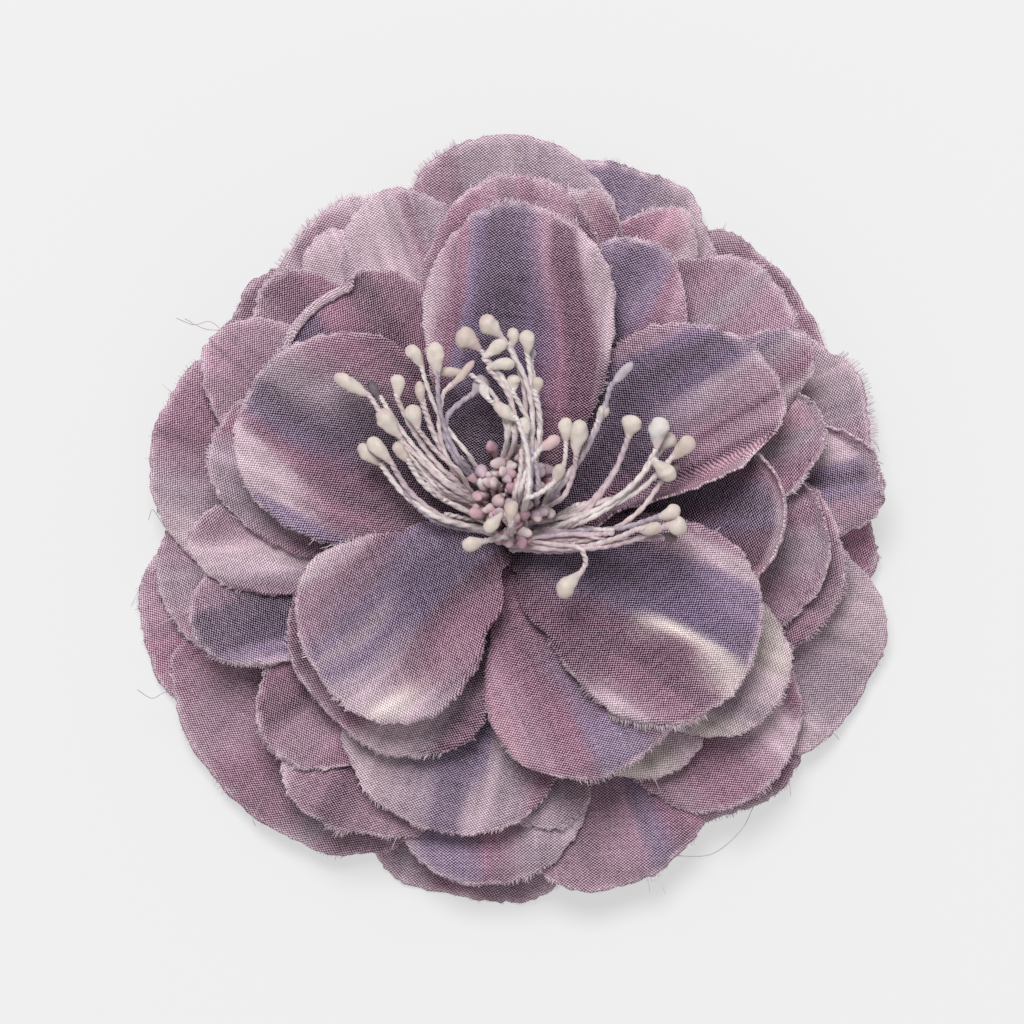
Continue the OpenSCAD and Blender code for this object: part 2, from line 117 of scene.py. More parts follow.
# Petals from the back: whorl, direction, reach, half width on the anticlockwise and clockwise
# sides, roundness of the tip, curl, turn of the weave, dyes from the clockwise edge across the
# tip and, after the stroke, across the root
PETALS = [
    (1, 137, 0.90, 0.26, 0.26, 0.32, 0.0, 12, "mvpvm"),
    (1, 197, 0.945, 0.26, 0.26, 0.36, 0.2, -20, "mmmvmm"),
    (1, 267, 0.93, 0.26, 0.32, 0.28, 0.0, 8, "mgvmgm"),
    (1, 357, 0.95, 0.20, 0.22, 0.40, 0.1, 15, "mmvvm"),
    (1, 45, 0.965, 0.28, 0.28, 0.26, 0.0, -12, "mvpvmg"),
    (1, 317, 0.94, 0.25, 0.27, 0.36, 0.0, 25, "mgmvmm"),
    (2, 226, 0.955, 0.33, 0.39, 0.30, 0.0, -15, "vmmvvgmm"),
    (2, 340, 0.995, 0.29, 0.29, 0.37, 0.0, 30, "mwgggwwwm"),
    (2, 70, 0.98, 0.24, 0.28, 0.33, 0.2, -8, "mwgbibw"),
    (2, 291, 0.93, 0.28, 0.27, 0.32, 0.1, 18, "vmmmbvm"),
    (2, 20, 0.965, 0.28, 0.22, 0.30, 0.2, 5, "mwmgwgm"),
    (2, 120, 0.935, 0.20, 0.24, 0.36, 0.1, 10, "wwwmmww"),
    (2, 186, 0.885, 0.24, 0.22, 0.38, 0.1, -18, "vmmgmv"),
    (3, 164, 0.925, 0.28, 0.29, 0.38, 0.1, 22, "mmvvmgww"),
    (3, 266, 0.88, 0.25, 0.25, 0.40, 0.1, -5, "wwbbvmggw"),
    (3, 318, 0.91, 0.25, 0.25, 0.40, 0.0, 15, "mmvmwvm"),
    (3, 9, 0.965, 0.18, 0.17, 0.42, 0.2, -25, "mgmbkbwwm/pppvpp"),
    (3, 91, 1.01, 0.23, 0.28, 0.38, 0.1, 6, "wgggwgmmm"),
    (3, 238, 0.85, 0.25, 0.25, 0.40, 0.1, -12, "mwmpmmw/vvpppvvv"),
    (4, 122, 0.88, 0.14, 0.14, 0.40, 0.1, 8, "wwwwm"),
    (4, 62, 0.93, 0.14, 0.14, 0.42, 0.2, -14, "wwrvv"),
    (4, 354, 0.86, 0.25, 0.25, 0.42, 0.1, 20, "pvmmvm"),
    (4, 280, 0.75, 0.12, 0.15, 0.42, 0.1, 0, "mwgmm"),
    (4, 76, 0.89, 0.13, 0.13, 0.42, 0.2, 12, "pvrwm"),
    (5, 133, 0.88, 0.15, 0.15, 0.42, 0.3, -10, "mvpmw"),
    (5, 223, 0.80, 0.19, 0.19, 0.42, 0.2, 14, "wvpmmvv"),
    (5, 358, 0.82, 0.23, 0.23, 0.42, 0.2, -22, "immgvgm"),
    (5, 44, 0.93, 0.22, 0.22, 0.38, 0.1, 18, "iimmgmpw"),
    (5, 307, 0.73, 0.18, 0.18, 0.42, 0.2, -8, "ooowmm"),
    (5, 110, 0.92, 0.17, 0.18, 0.40, 0.2, 10, "mgmwwwg"),
    (5, 258, 0.76, 0.26, 0.30, 0.40, 0.1, 4, "wwwgbbwgvm"),
    (5, 196, 0.82, 0.16, 0.16, 0.40, 0.3, -16, "pvmkkkbw"),
    (5, 20, 0.85, 0.16, 0.16, 0.42, 0.3, 24, "vvgrww"),
    (5, 147, 0.88, 0.18, 0.18, 0.42, 0.3, 5, "wmmmmg"),
    (5, 329, 0.80, 0.20, 0.20, 0.38, 0.3, -12, "oogwooo"),
    (5, 182, 0.79, 0.13, 0.13, 0.42, 0.4, 16, "mmmwwgm"),
    (5, 32, 0.90, 0.13, 0.13, 0.46, 0.4, -6, "mwvgbm"),
    (6, 162, 0.77, 0.20, 0.20, 0.40, 0.2, 9, "mvvggm"),
    (6, 231, 0.63, 0.25, 0.27, 0.40, 0.1, -14, "ppmmvwwgp/ppvvkkpp"),
    (6, 6, 0.71, 0.21, 0.21, 0.42, 0.5, 20, "rvppikipprv/vvppkkpp"),
    (6, 63, 0.81, 0.19, 0.19, 0.42, 0.2, -9, "mmvbibvm/pkkipp"),
    (6, 298, 0.65, 0.25, 0.25, 0.42, 0.1, 3, "rmvvbbbmpv/vmvvvvvp"),
    (6, 88, 0.90, 0.23, 0.23, 0.38, 0.1, 11, "ppmmvmvvm"),
    (6, 130, 0.76, 0.24, 0.24, 0.42, 0.5, -20, "mvpvkkvw/kkppkp"),
    (7, 151, 0.73, 0.24, 0.28, 0.38, 0.3, 30, "mpvmgkivwwwb/vppkkppvpi"),
    (7, 331, 0.69, 0.26, 0.25, 0.38, 0.2, 22, "wmvvppoiiiibwwm/ppppiikpp"),
    (7, 29, 0.78, 0.28, 0.14, 0.38, 0.1, -18, "mrpmmpmgikim/vpppkkkkp"),
    (7, 88, 0.82, 0.22, 0.255, 0.36, 0.3, 7, "wwpppmikkibvmw/pppvikkkpp"),
    (7, 222, 0.58, 0.22, 0.27, 0.38, 0.3, 20, "wwmbgbgwwowgm/mvbiipvvv"),
]

# Rims with the weft drawn out into a fringe: petal, from and to round its tip, length of the fringe
FRINGES = [
    ("petal_2_6", -60, 70, 1.0),
    ("petal_3_5", 25, 88, 1.0),
    ("petal_2_5", -50, 30, 1.3),
    ("petal_5_8", 30, 75, 0.8),
    ("petal_7_2", -94, -34, 1.2),
    ("petal_5_2", -20, 40, 0.6),
    ("petal_6_2", 0, 60, 0.5),
    ("petal_4_5", -40, 40, 0.6),
]

# Rims that roll up over the petal: petal, edge, from and to (round the tip, or from the root out
# along a side), width and turn of the roll, its dyes
ROLLS = [
    ("petal_6_7", "tip", -40, 76, 2.8, 280, "mwwwbki"),
    ("petal_6_3", "tip", -70, 62, 4.0, 115, "mrwwrww"),
    ("petal_7_3", "right", 0.25, 1.4, 2.8, 95, "mmrww"),
    ("petal_5_3", "tip", -40, 90, 2.4, 70, "mgvg"),
    ("petal_5_9", "tip", -70, 70, 1.8, 60, "mmgw"),
    ("petal_3_4", "tip", -20, 80, 3.0, 55, "wgvm"),
]

# Petals cut a little fuller or leaner than their solids: petal, reach, anticlockwise and clockwise
# sides
FULLER = [
    ("petal_1_2", 1.02, 1.03, 0.94),
    ("petal_1_6", 1.00, 1.00, 0.96),
    ("petal_2_1", 1.00, 1.05, 1.00),
    ("petal_2_2", 1.015, 0.95, 1.07),
    ("petal_2_3", 1.02, 1.06, 1.00),
    ("petal_3_5", 1.00, 1.09, 1.08),
    ("petal_5_2", 0.98, 0.93, 1.00),
    ("petal_6_2", 1.00, 1.00, 1.16),
    ("petal_6_3", 1.05, 1.04, 1.04),
    ("petal_6_7", 1.05, 1.03, 1.03),
    ("petal_7_3", 1.00, 1.00, 1.12),
]

# Single threads that have come loose at the rim: their places from the flower's middle
LOOSE = [
    [(-38.0, 27.4, 4.0), (-40.0, 28.9, 3.6), (-42.2, 28.5, 3.2), (-44.6, 29.4, 3.4)],
    [(-37.6, 27.8, 4.0), (-40.6, 27.9, 3.8), (-43.4, 29.3, 3.6)],
    [(-44.0, -22.6, 1.5), (-46.0, -21.4, 1.3), (-48.0, -22.2, 1.0), (-50.0, -21.0, 1.2)],
    [(22.5, -43.6, 1.0), (28.0, -43.4, 0.5), (32.0, -40.2, 0.8), (33.8, -36.8, 1.0)],
    [(41.0, -27.0, 1.0), (43.0, -28.2, 0.6), (44.4, -26.9, 0.9), (45.4, -27.8, 0.9)],
    [(-46.5, 1.5, 2.0), (-47.8, 3.4, 2.6), (-48.4, 2.0, 2.2)],
    [(13.2, 44.0, 9.5), (12.8, 47.6, 10.6), (14.2, 48.4, 10.8), (15.2, 45.6, 10.0), (16.4, 44.4, 9.2)],
    [(48.0, 12.0, 4.0), (50.2, 10.2, 4.6), (51.2, 9.6, 4.2)],
    [(47.6, 14.5, 4.0), (50.0, 12.6, 4.9), (50.8, 11.2, 4.4)],
    [(-33.0, -36.0, 1.5), (-34.2, -38.4, 1.0), (-33.9, -39.6, 0.8)],
]

# Bunches that the threads leave the flower's middle in: fork x and y, its height, root x and y
BUNCHES = [
    (-0.30, 0.12, 0.30, -0.06, 0.035),
    (-0.29, 0.24, 0.50, -0.075, 0.085),
    (-0.22, 0.36, 0.45, -0.095, 0.175),
    (0.02, 0.48, 0.70, -0.025, 0.275),
    (0.11, 0.42, 0.55, 0.125, 0.285),
    (0.10, 0.20, 0.95, 0.075, 0.025),
    (0.28, 0.22, 0.70, 0.165, 0.125),
    (0.36, 0.10, 0.50, 0.15, 0.035),
    (0.36, -0.01, 0.30, 0.05, -0.04),
    (0.00, 0.02, 0.60, 0.0, 0.0),
]

# Stamens: bunch, tip x and y, pip's foot x and y, pip's width, height, bow, tone of the pip
STAMENS = [
    (1, -0.84, 0.79, -0.67, 0.69, 0.90, 0.45, 0.04, "c"),
    (1, -0.66, 0.76, -0.60, 0.66, 0.60, 0.40, 0.04, "d"),
    (1, -0.54, 0.79, -0.53, 0.68, 0.85, 0.60, 0.05, "c"),
    (1, -0.62, 0.62, -0.52, 0.49, 1.10, 0.55, 0.04, "c"),
    (0, -0.72, 0.45, -0.61, 0.35, 0.85, 0.40, 0.08, "c"),
    (0, -0.67, 0.48, -0.56, 0.36, 0.90, 0.60, 0.10, "c"),
    (0, -0.54, 0.46, -0.47, 0.36, 0.75, 0.65, 0.09, "a"),
    (2, -0.47, 0.64, -0.43, 0.53, 0.95, 0.75, 0.05, "c"),
    (2, -0.42, 0.76, -0.40, 0.64, 0.60, 0.55, 0.04, "a"),
    (2, -0.48, 0.93, -0.41, 0.83, 0.85, 0.50, 0.07, "c"),
    (2, -0.34, 0.95, -0.33, 0.79, 1.00, 0.70, 0.08, "c"),
    (3, -0.24, 0.99, -0.13, 0.92, 1.25, 0.75, -0.12, "a"),
    (4, -0.11, 1.08, -0.02, 0.98, 1.10, 0.80, -0.11, "c"),
    (4, 0.03, 1.02, 0.03, 0.93, 0.70, 0.70, -0.08, "c"),
    (4, 0.10, 1.01, 0.11, 0.89, 0.85, 0.75, -0.06, "c"),
    (4, 0.14, 0.92, 0.13, 0.84, 0.55, 0.55, -0.04, "b"),
    (3, 0.01, 0.95, -0.10, 0.87, 0.80, 0.90, -0.16, "c"),
    (3, 0.05, 0.84, -0.08, 0.82, 0.75, 0.95, -0.14, "c"),
    (3, -0.33, 0.80, -0.17, 0.79, 0.60, 0.65, -0.14, "a"),
    (4, 0.05, 0.79, 0.04, 0.70, 0.85, 0.85, -0.07, "c"),
    (4, 0.16, 0.78, 0.15, 0.70, 0.65, 0.80, -0.05, "a"),
    (3, -0.11, 0.75, -0.08, 0.67, 0.65, 1.00, -0.10, "w"),
    (5, -0.05, 0.65, 0.06, 0.57, 0.80, 1.05, -0.08, "c"),
    (5, 0.09, 0.58, 0.10, 0.47, 0.80, 1.00, -0.05, "c"),
    (5, 0.27, 0.48, 0.17, 0.42, 0.75, 0.95, 0.05, "f"),
    (6, 0.30, 0.58, 0.30, 0.46, 0.85, 0.80, -0.06, "c"),
    (6, 0.37, 0.57, 0.35, 0.40, 1.10, 0.85, -0.08, "c"),
    (5, 0.28, 0.35, 0.24, 0.26, 0.75, 0.95, -0.06, "a"),
    (6, 0.63, 0.85, 0.52, 0.73, 0.60, 0.40, -0.06, "b"),
    (6, 0.50, 0.64, 0.46, 0.56, 0.70, 0.50, -0.06, "c"),
    (7, 0.64, 0.59, 0.61, 0.49, 1.15, 0.60, -0.08, "c"),
    (7, 0.78, 0.58, 0.75, 0.44, 1.25, 0.65, -0.10, "w"),
    (7, 0.84, 0.49, 0.77, 0.42, 0.95, 0.40, -0.10, "c"),
    (7, 0.93, 0.48, 0.82, 0.38, 1.00, 0.55, -0.10, "a"),
    (7, 0.84, 0.28, 0.73, 0.37, 1.00, 0.80, -0.08, "c"),
    (8, 0.86, 0.34, 0.79, 0.30, 0.60, 0.35, -0.12, "d"),
    (8, 0.86, 0.14, 0.75, 0.09, 0.85, 0.50, -0.06, "c"),
    (8, 0.89, 0.06, 0.80, 0.05, 1.10, 0.60, -0.06, "c"),
    (8, 0.77, 0.05, 0.65, 0.03, 0.80, 0.70, -0.04, "a"),
    (8, 0.85, -0.02, 0.76, -0.01, 0.60, 0.35, -0.05, "d"),
    (8, 0.27, -0.31, 0.37, -0.19, 1.05, 0.40, 0.20, "c"),
    (9, -0.21, -0.06, -0.11, -0.03, 0.95, 0.75, 0, "c"),
    (9, -0.10, 0.02, -0.02, 0.10, 0.80, 1.10, 0, "c"),
    (9, 0.05, 0.17, 0.03, 0.05, 0.75, 1.15, 0, "a"),
    (2, -0.08, 0.76, -0.15, 0.70, 1.10, 0.55, 0.30, "b"),
    (2, -0.15, 0.86, -0.30, 0.70, 0.50, 0.60, 0.12, "a"),
]

# Colours of the pips, by letter, and of the threads and buds
PIP_TONES = {
    "c": (0.58, 0.51, 0.46),
    "a": (0.51, 0.42, 0.38),
    "w": (0.62, 0.57, 0.56),
    "b": (0.42, 0.38, 0.42),
    "d": (0.12, 0.09, 0.11),
    "f": (0.58, 0.41, 0.43),
}
PIP_FOOT = Vector((0.50, 0.36, 0.40))
PIP_STAIN = Vector((0.50, 0.30, 0.34))
THREAD_TONES = [
    (0.62, 0.50, 0.51),
    (0.68, 0.60, 0.59),
    (0.54, 0.41, 0.45),
    (0.65, 0.56, 0.56),
    (0.38, 0.31, 0.38),
]
BUD_TONES = [
    (0.52, 0.34, 0.38),
    (0.55, 0.41, 0.43),
    (0.57, 0.46, 0.47),
    (0.46, 0.28, 0.34),
    (0.50, 0.38, 0.43),
    (0.60, 0.51, 0.51),
]
STALK_ROSE = Vector((0.50, 0.22, 0.30))

# Colours of the cut edge, pale where worn and with a painted highlight on the rim, of the threads that fray
# from it, and of single loose threads
WORN_AND_LIT_EDGE = Vector((0.62, 0.49, 0.55))
FRAYED = Vector((0.70, 0.58, 0.63))
LOOSE_TONE = (0.40, 0.31, 0.36)

# The fray: how many short ends lie on a rim, how many threads stick out of each side and of the tip,
# how far in from the edge their feet are, and half thicknesses at foot and tip of the short ends, the
# frayed threads and the fringe
LINT_COUNT = 70
SIDE_THREADS = 50
TIP_THREADS = 190
FRAY_FOOT = 0.35
LINT_R = (0.10, 0.05)
FRAY_R = (0.062, 0.035)
FRINGE_R = (0.075, 0.045)

# Rows of STAMENS whose routes the threads under the others follow, some more often, and how many of
# those threads there are
UNDER_ROWS = (0, 3, 5, 7, 22, 25, 28, 30, 31, 33, 36, 37, 38, 39, 30, 33, 36, 38, 19)
UNDER_COUNT = 40

# The clump of buds: how many, its middle, its half widths, and the turn from one bud to the next
BUD_COUNT = 66
BUDS_MIDDLE = Vector((0.9, 5.5))
BUDS_HALF = (5.1, 5.8)
BUD_TURN = 137.5


def ease(x):
    c = min(1.0, max(0.0, x))
    return c * c * (3 - 2 * c)


def sin_d(a):
    return math.sin(math.radians(a))


def cos_d(a):
    return math.cos(math.radians(a))


def turned(x, y, a):
    return x * cos_d(a) - y * sin_d(a), x * sin_d(a) + y * cos_d(a)


class Petal:
    """The plan of one petal, in its own frame: x runs along its middle, y to its anticlockwise side."""

    def __init__(self, row, name):
        whorl, self.turn, reach, left, right, self.blunt, self.curl, self.weave, dyes = row
        self.dyes = dyes.split("/")
        self.name = name
        self.whorl = whorl
        root, self.neck, self.slow, self.cup = WHORLS[whorl - 1]
        self.root = max(root * FELT_R, STEM_R + CLOTH_GAP)
        self.length = reach * FLOWER_R - self.root
        self.left = left * FLOWER_R
        self.right = right * FLOWER_R
        self.level = 0
        self.inner = (0.9 - self.root) / self.length if whorl > 5 else 0.0

    def half(self, side):
        return self.left if side > 0 else self.right

    def widening(self, s):
        return self.neck + (1 - self.neck) * sin_d(90 * max(0.0, s)) ** self.slow

    def own(self, s, a):
        x = self.root + self.length * s * (1 - self.blunt * (1 - cos_d(a)))
        return x, self.half(a) * sin_d(a) * self.widening(s)

    def plan(self, s, a):
        return turned(*self.own(s, a), self.turn)

    def width_at(self, x, side):
        from_root = (x - self.root) / self.length
        straight = 1 - self.blunt
        if from_root < 0 or from_root > 1:
            return -FLOWER_R
        if from_root < straight:
            return self.half(side) * self.widening(from_root / straight)
        return self.half(side) * math.sqrt(max(0.0, 1 - (1 - (1 - from_root) / self.blunt) ** 2))

    def covers(self, x, y):
        own_x, own_y = turned(x, y, -self.turn)
        return abs(own_y) < self.width_at(own_x, own_y) + 2 * CLOTH_GAP

    def rim(self):
        sides = [self.plan(k / 8, a) for k in range(9) for a in (90, -90)]
        return sides + [self.plan(1, 90 - 15 * k) for k in range(1, 12)]


def named_petals():
    counts = {}
    for row in PETALS:
        counts[row[0]] = counts.get(row[0], 0) + 1
        yield Petal(row, f"petal_{row[0]}_{counts[row[0]]}")


def meet(a, b):
    if abs((a.turn - b.turn + 540) % 360 - 180) >= 100:
        return False
    return any(b.covers(*p) for p in a.rim()) or any(a.covers(*p) for p in b.rim())


petals = list(named_petals())
for k, petal in enumerate(petals):
    petal.level = 1 + max([-1] + [other.level for other in petals[:k] if meet(other, petal)])
TOP_LEVEL = max(p.level for p in petals)
FRONT_TURNS = [p.turn for p in petals if p.whorl == len(WHORLS)]


def stacked(level, r):
    return CLOTH_GAP + (CLOTH_T + CLOTH_GAP) * level * (1 + STACK_SPREAD * (r / FLOWER_R) ** 2)


def drooped(r):
    return (BACK_H + CLOTH_GAP) * (max(0, r - FELT_R) / (FLOWER_R - FELT_R)) ** 1.6


def waved(x, y):
    a = math.degrees(math.atan2(y, x))
    rise = 0.6 * sin_d(5 * a + 40) + 0.4 * sin_d(9 * a + 100)
    return WAVE_H * ease((math.hypot(x, y) - FELT_R) / FELT_R) * rise


def cupped(x, y, share):
    a = math.degrees(math.atan2(y, x))
    to_next = min((t - a + 720) % 360 for t in FRONT_TURNS)
    to_last = min((a - t + 720) % 360 for t in FRONT_TURNS)
    part = to_last / (to_last + to_next + 0.001)
    return CUP_H * share * sin_d(180 * part) ** 2 * ease(math.hypot(x, y) / FLOWER_R / 0.5)


def crown(x, y):
    r = math.hypot(x, y)
    return stacked(TOP_LEVEL, r) + CLOTH_T - drooped(r) + waved(x, y) + cupped(x, y, 1)


STEM_TOP = crown(0, 0) + THREAD_D


def lying(x, y, rise):
    away = ease(math.hypot(x, y) / STEM_R / 3)
    return max(crown(x, y) + THREAD_D * 1.2, STEM_TOP * (1 - away)) + STAMEN_RISE * rise


felt_low, felt_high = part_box("felt_back")
MIDDLE = Vector(((felt_low.x + felt_high.x) / 2, (felt_low.y + felt_high.y) / 2, felt_high.z))
LOWEST = -MIDDLE.z / MM


# Materials


class Socket:
    """A value in a material's nodes, with the operators that its sums use."""

    def __init__(self, finish, link):
        self.finish = finish
        self.link = link

    def __add__(self, other):
        return self.finish.maths("ADD", self, other)

    def __sub__(self, other):
        return self.finish.maths("SUBTRACT", self, other)

    def __rsub__(self, other):
        return self.finish.maths("SUBTRACT", other, self)

    def __mul__(self, other):
        return self.finish.maths("MULTIPLY", self, other)

    def __truediv__(self, other):
        return self.finish.maths("DIVIDE", self, other)

    __radd__ = __add__
    __rmul__ = __mul__


class Finish:
    """A material in the making: its nodes, and the shader that they feed."""

    def __init__(self, name, **constants):
        self.material = bpy.data.materials.new(name)
        self.material.use_nodes = True
        self.tree = self.material.node_tree
        self.shader = self.tree.nodes["Principled BSDF"]
        for key, value in constants.items():
            self.feed(self.shader.inputs[key.replace("_", " ")], value)

    def feed(self, target, value):
        if isinstance(value, Socket):
            self.tree.links.new(value.link, target)
        else:
            target.default_value = value

    def node(self, kind, settings=None, values=None, output=0):
        made = self.tree.nodes.new("ShaderNode" + kind)
        for key, value in (settings or {}).items():
            setattr(made, key, value)
        for key, value in (values or {}).items():
            self.feed(made.inputs[key], value)
        return Socket(self, made.outputs[output])

    def maths(self, operation, *values, clamp=False):
        settings = {"operation": operation, "use_clamp": clamp}
        return self.node("Math", settings, dict(enumerate(values)))

    def mix(self, factor, a, b):
        settings = {"data_type": "RGBA", "clamp_factor": True}
        return self.node("Mix", settings, {0: factor, 6: a, 7: b}, output=2)

    def times(self, colour, factor):
        vector = self.node("CombineXYZ", None, {0: factor, 1: factor, 2: factor})
        return self.node("VectorMath", {"operation": "MULTIPLY"}, {0: colour, 1: vector})

    def noise(self, vector, scale, detail=2.0, roughness=0.5):
        values = {"Vector": vector, "Scale": scale, "Detail": detail, "Roughness": roughness}
        return self.node("TexNoise", None, values)

    def bump(self, height, strength, distance):
        values = {"Height": height, "Strength": strength, "Distance": distance}
        self.feed(self.shader.inputs["Normal"], self.node("Bump", None, values))


def place(finish, x, y, z=0.0):
    return finish.node("CombineXYZ", None, {0: x, 1: y, 2: z})


def woven_cloth():
    """Space-dyed plain weave, with a painted highlight on its raised crossings and painted shade in its
    gaps.

    The dye comes from the petal's own attribute, the threads from its UV map in millimetres.
    """
    f = Finish("dyed_cloth", Roughness=0.9, Sheen_Weight=0.06, Sheen_Roughness=0.5,
               Sheen_Tint=(0.95, 0.65, 0.85, 1), Specular_IOR_Level=0.06)
    dye = f.node("Attribute", {"attribute_name": "dye"})
    plan = f.node("UVMap", {"uv_map": "weave"})
    x = f.node("SeparateXYZ", None, {0: plan}, output=0) / WARP_MM
    y = f.node("SeparateXYZ", None, {0: plan}, output=1) / WEFT_MM
    x = x + (f.noise(plan, 0.5, 3.0, 0.7) - 0.5) * 2.2
    y = y + (f.noise(plan, 0.45, 3.0, 0.7) - 0.5) * 2.2
    over = f.maths("SINE", x * math.pi) * f.maths("SINE", y * math.pi)
    warp_up = f.maths("ADD", over * 3, 0.5, clamp=True)
    warp = f.noise(place(f, x * 0.9, y * 0.03), 1.0, 1.0)
    weft = f.noise(place(f, x * 0.03, y * 0.9), 1.0, 1.0)
    thread = warp * warp_up + weft * (1 - warp_up)
    slub = f.noise(place(f, x * 0.4, y * 0.4, 3.0), 1.0, 3.0, 0.7)
    depth = f.node("SeparateXYZ", None, {0: dye}, output=1)
    # light mixes the yarn's own tone (thread and slub noise) with a painted highlight on the crossings and
    # painted shade in the gaps
    light = over * 2.2 + (thread - 0.5) * 1.6 + (slub - 0.5) * 2.0 + (depth * 0.75 + 0.07)
    # dark is the painted shade of the gaps, pale the dye whitened into a painted highlight on the crossings
    dark = f.node("VectorMath", {"operation": "MULTIPLY_ADD"}, {0: dye, 1: dye, 2: f.times(dye, 0.10)})
    pale = f.mix(0.33, f.times(dye, 1.70), (0.94, 0.79, 0.88, 1))
    f.feed(f.shader.inputs["Base Color"], f.mix(light, dark, pale))
    f.bump(over + thread * 0.5, 0.6, 0.00012)
    return f.material


def dyed_thread(name, rough, fuzz):
    """Single threads, in the colour of their own attribute, mottled along their length."""
    f = Finish(name, Roughness=rough, Sheen_Weight=0.3, Specular_IOR_Level=0.3)
    dye = f.node("Attribute", {"attribute_name": "dye"})
    spot = f.node("TexCoord", output=3)
    mottle = f.noise(spot, 900.0, 3.0, 0.7)
    colour = f.times(dye, mottle * 1.1 + 0.45)
    f.feed(f.shader.inputs["Base Color"], f.mix((mottle - 0.52) * 2.2, colour, (0.66, 0.61, 0.60, 1)))
    f.bump(f.noise(spot, 3200.0, 2.0), fuzz, 0.00008)
    return f.material


def glazed(name, rough):
    """Hardened starch paste on the pips and buds: a soft gloss over slight lumps."""
    f = Finish(name, Roughness=rough, Specular_IOR_Level=0.45,
               Subsurface_Weight=0.12, Subsurface_Scale=0.001)
    dye = f.node("Attribute", {"attribute_name": "dye"})
    spot = f.node("TexCoord", output=3)
    mottle = f.noise(spot, 700.0, 3.0, 0.6)
    f.feed(f.shader.inputs["Base Color"], f.times(dye, mottle * 0.5 + 0.75))
    f.bump(f.noise(spot, 1500.0, 2.0), 0.35, 0.00015)
    return f.material


def felted():
    """Dark wool felt, lumpy and a little hairy."""
    f = Finish("back_felt", Roughness=0.95, Sheen_Weight=0.5, Sheen_Roughness=0.6, Specular_IOR_Level=0.1)
    spot = f.node("TexCoord", output=3)
    lumps = f.noise(spot, 260.0, 4.0, 0.7)
    hairs = f.node("TexVoronoi", {"feature": "F1"}, {"Vector": spot, "Scale": 900.0})
    f.feed(f.shader.inputs["Base Color"], f.mix(lumps, (0.030, 0.028, 0.040, 1), (0.085, 0.080, 0.100, 1)))
    f.bump(lumps + hairs * 0.6, 0.8, 0.0004)
    return f.material


def plated():
    """Plated steel with a fine grain along the pin."""
    f = Finish("pin_metal", Metallic=1.0, Roughness=0.28)
    spot = f.node("TexCoord", output=3)
    grain = f.noise(f.node("Mapping", None, {"Vector": spot, "Scale": (600.0, 60.0, 600.0)}), 1.0, 3.0)
    f.feed(f.shader.inputs["Base Color"], f.mix(grain, (0.52, 0.51, 0.50, 1), (0.68, 0.67, 0.66, 1)))
    f.feed(f.shader.inputs["Roughness"], grain * 0.25 + 0.18)
    f.bump(grain, 0.1, 0.00005)
    return f.material


CLOTH_FINISH = woven_cloth()
FRAY_FINISH = dyed_thread("frayed_thread", 0.9, 0.3)
THREAD_FINISH = dyed_thread("stamen_thread", 0.7, 0.5)
PIP_FINISH = glazed("pip_glaze", 0.55)
BUD_FINISH = glazed("bud_glaze", 0.75)


# Making


def speckle(x, y, seed):
    """Soft noise round zero."""
    return noise.noise(Vector((x, y, seed)))


def blend_dyes(dyes, place_across):
    """Colour across a petal: its dyes stand side by side and run into each other."""
    at = min(len(dyes) - 1.0, max(0.0, place_across * (len(dyes) - 1)))
    first = min(int(at), len(dyes) - 2)
    return Vector(DYES[dyes[first]]).lerp(Vector(DYES[dyes[first + 1]]), ease(at - first))


def dyed(petal, s, a, x, y):
    """The dye on a petal at a place, bled along its length, darker at the root (dye and painted shade), pale
    at the cut edge (worn and painted highlight).
    """
    seed = petal.turn * 0.37 + petal.whorl * 5.1
    across = 0.5 + 0.5 * y / petal.half(y)
    across += speckle(across * 5, x * 0.06, seed) * 0.12
    across += speckle(across * 14, x * 0.14, seed + 9) * 0.03
    outward = ease((s - 0.36 + 0.36 * speckle(x * 0.09, y * 0.09, seed + 31)) / 0.40)
    tone = blend_dyes(petal.dyes[-1], across).lerp(blend_dyes(petal.dyes[0], across), outward)
    tone *= 1 + 0.34 * speckle(x * 0.09, y * 0.09, seed + 20)
    tone *= 1 + 0.30 * speckle(x * 0.10, y * 0.75, seed + 44)
    tone = tone.lerp(Vector(DYES["w"]), 0.14 * ease((s - 0.6) / 0.4))
    # Darker towards the root: painted shade where the petals above cover it, on top of the dye's own darker
    # root
    tone *= 1 - 0.28 * (1 - ease(s / 0.6))
    for row in ROLLS:
        if row[0] == petal.name:
            _, _, past, share, along = roll_there(petal, row, s, a)
            tone = tone.lerp(blend_dyes(row[6], along), 0.85 * share * ease(past * 2.5))
    # The pale band at the cut edge is partly worn cloth and partly a painted highlight where the rim catches
    # the light
    wear_and_highlight = 0.5 + 0.7 * speckle(x * 0.5, y * 0.5, seed + 3)
    edge = max(ease((s - 0.968) / 0.024), ease((abs(a) - 85) / 4) * ease(s / 0.4))
    return tone.lerp(WORN_AND_LIT_EDGE, min(0.9, max(0.15, wear_and_highlight)) * edge)


def rumpled(x, y):
    """Soft folds that the layers of cloth share."""
    loose = ease((math.hypot(x, y) - 14) / 20)
    return loose * (1.3 * speckle(x * 0.10, y * 0.10, 4) + 0.5 * speckle(x * 0.28, y * 0.28, 8))


